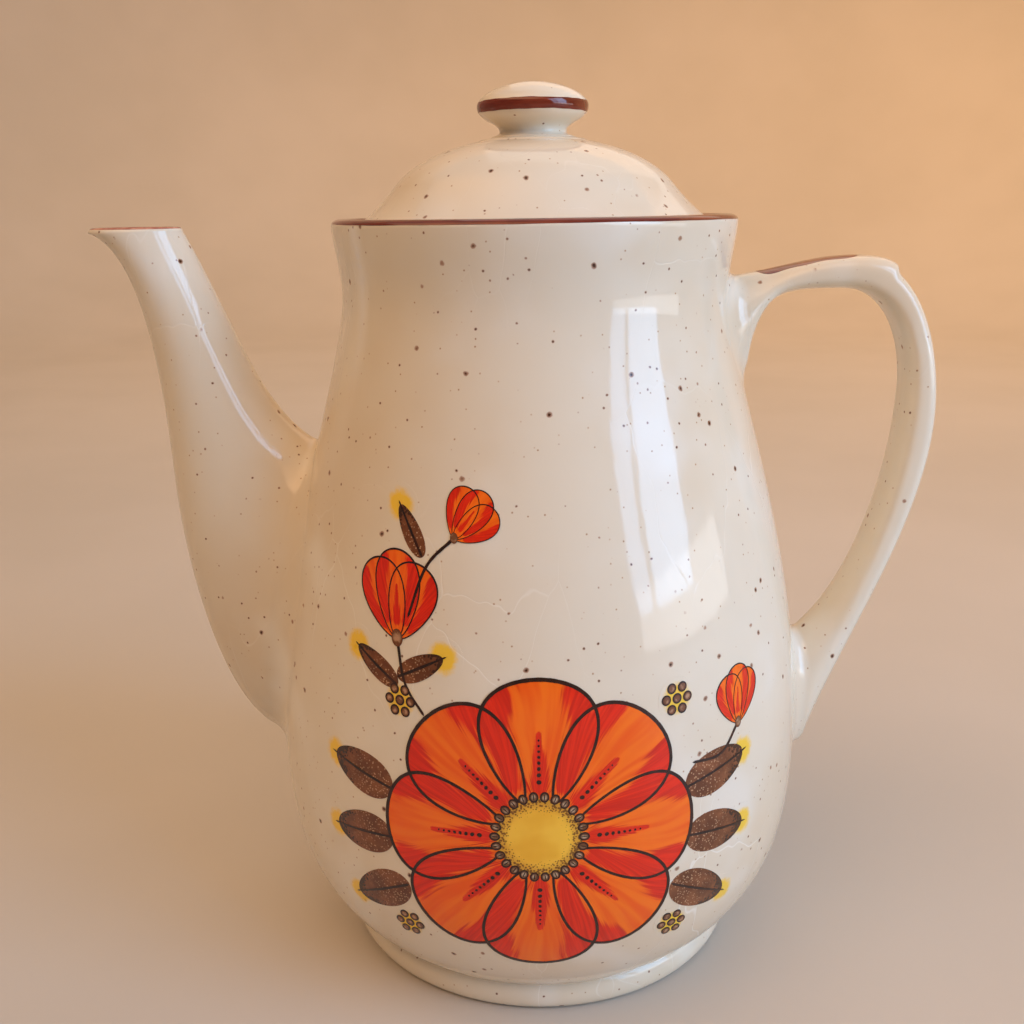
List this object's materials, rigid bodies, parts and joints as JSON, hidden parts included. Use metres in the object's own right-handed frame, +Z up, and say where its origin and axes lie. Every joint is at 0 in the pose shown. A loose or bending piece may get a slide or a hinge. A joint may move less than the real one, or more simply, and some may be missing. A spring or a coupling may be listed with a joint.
{
  "type": "coffee pot",
  "caption": "Tall glazed stoneware coffee pot with a swan-neck spout, a strap handle, a lift-off domed lid with a knob, and a fired-on orange flower decoration.",
  "frame": {"origin": "middle of the footprint box on the table plane: halfway between the spout's tip and the back of the handle, in the pot's plane of symmetry", "axes": "+Z up along the body's axis, -X towards the spout, +X towards the handle, -Y towards the decorated side"},
  "size_m": [0.2261, 0.1465, 0.2337],
  "materials": {
    "cream_glaze": "glossy cream glaze with scattered dark iron specks",
    "brown_line": "glossy red-brown painted line",
    "orange_colour": "glossy fired-on orange-red colour with dark outlines",
    "yellow_colour": "glossy fired-on yellow colour with brown stipple",
    "leaf_brown": "glossy fired-on brown colour"
  },
  "bodies": {
    "pot": {"body_shell": "cream_glaze", "foot_ring": "cream_glaze", "lid_seat": "cream_glaze", "rim_line": "brown_line", "spout": "cream_glaze", "spout_line": "brown_line", "handle": "cream_glaze", "handle_line": "brown_line", "flower_petals": "orange_colour", "flower_eye": "yellow_colour", "tulip": "orange_colour", "heart_bud": "orange_colour", "side_bud": "orange_colour", "leaves": "leaf_brown", "berries": "leaf_brown"},
    "lid": {"lid_dome": "cream_glaze", "lid_skirt": "cream_glaze", "knob": "cream_glaze", "knob_line": "brown_line"}
  },
  "joints": [
    {"name": "lid_lift", "type": "slide", "parent": "pot", "child": "lid", "axis": [0, 0, 1], "range_m": [0, 0.08]}
  ]
}
